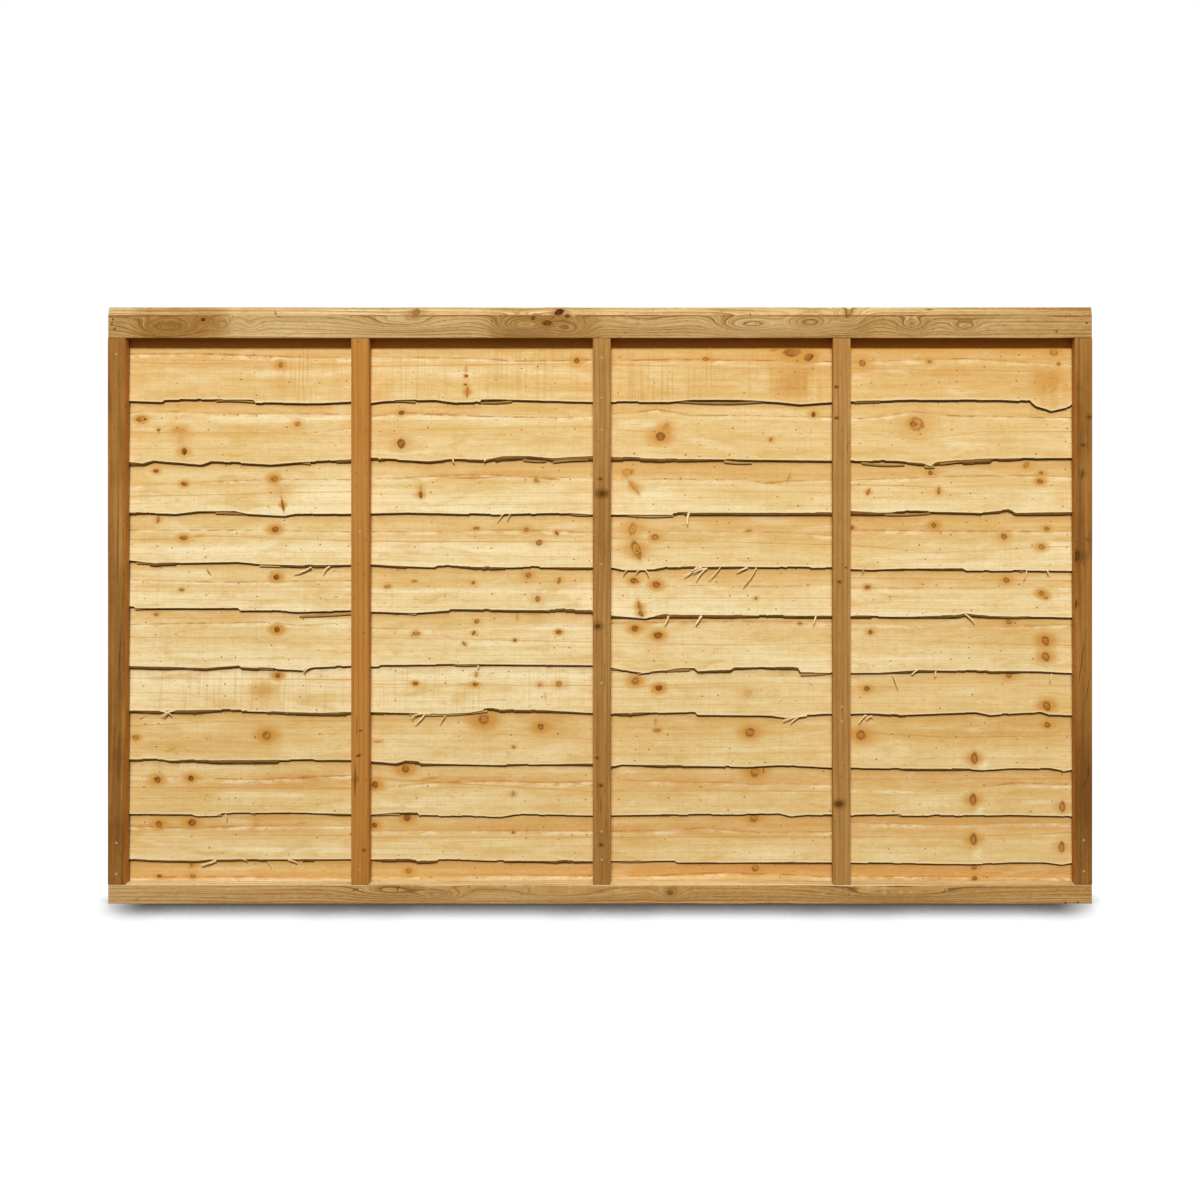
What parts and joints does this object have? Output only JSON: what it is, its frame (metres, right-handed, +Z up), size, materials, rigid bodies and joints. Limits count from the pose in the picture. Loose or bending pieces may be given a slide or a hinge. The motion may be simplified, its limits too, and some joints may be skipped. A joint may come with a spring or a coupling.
{
  "type": "waney lap fence panel",
  "caption": "Low timber fence panel: overlapping horizontal boards with wavy lower edges, held between front and back battens under a weathered top rail.",
  "frame": {"origin": "centre of the panel's foot, under the bottom rail, midway between its front and back faces", "axes": "+X along the panel towards its right-hand end seen from the front, +Y towards the back, +Z up"},
  "size_m": [1.828, 0.0466, 1.107],
  "materials": {
    "rail_timber": "sawn softwood rails, pressure-treated honey brown, matte",
    "batten_timber": "sawn softwood battens, pressure-treated golden brown, matte",
    "waney_board": "rough-sawn pale knotty softwood boards, matte",
    "nail_steel": "bright round wire nails"
  },
  "bodies": {
    "root": {"top_rail": "rail_timber", "bottom_rail": "rail_timber", "front_batten_left_end": "batten_timber", "front_batten_left": "batten_timber", "front_batten_middle": "batten_timber", "front_batten_right": "batten_timber", "front_batten_right_end": "batten_timber", "back_batten_left_end": "batten_timber", "back_batten_left": "batten_timber", "back_batten_middle": "batten_timber", "back_batten_right": "batten_timber", "back_batten_right_end": "batten_timber", "board_01": "waney_board", "board_02": "waney_board", "board_03": "waney_board", "board_04": "waney_board", "board_05": "waney_board", "board_06": "waney_board", "board_07": "waney_board", "board_08": "waney_board", "board_09": "waney_board", "board_10": "waney_board", "board_11": "waney_board", "board_nails": "nail_steel", "batten_nails": "nail_steel", "rail_nails": "nail_steel"}
  },
  "joints": []
}
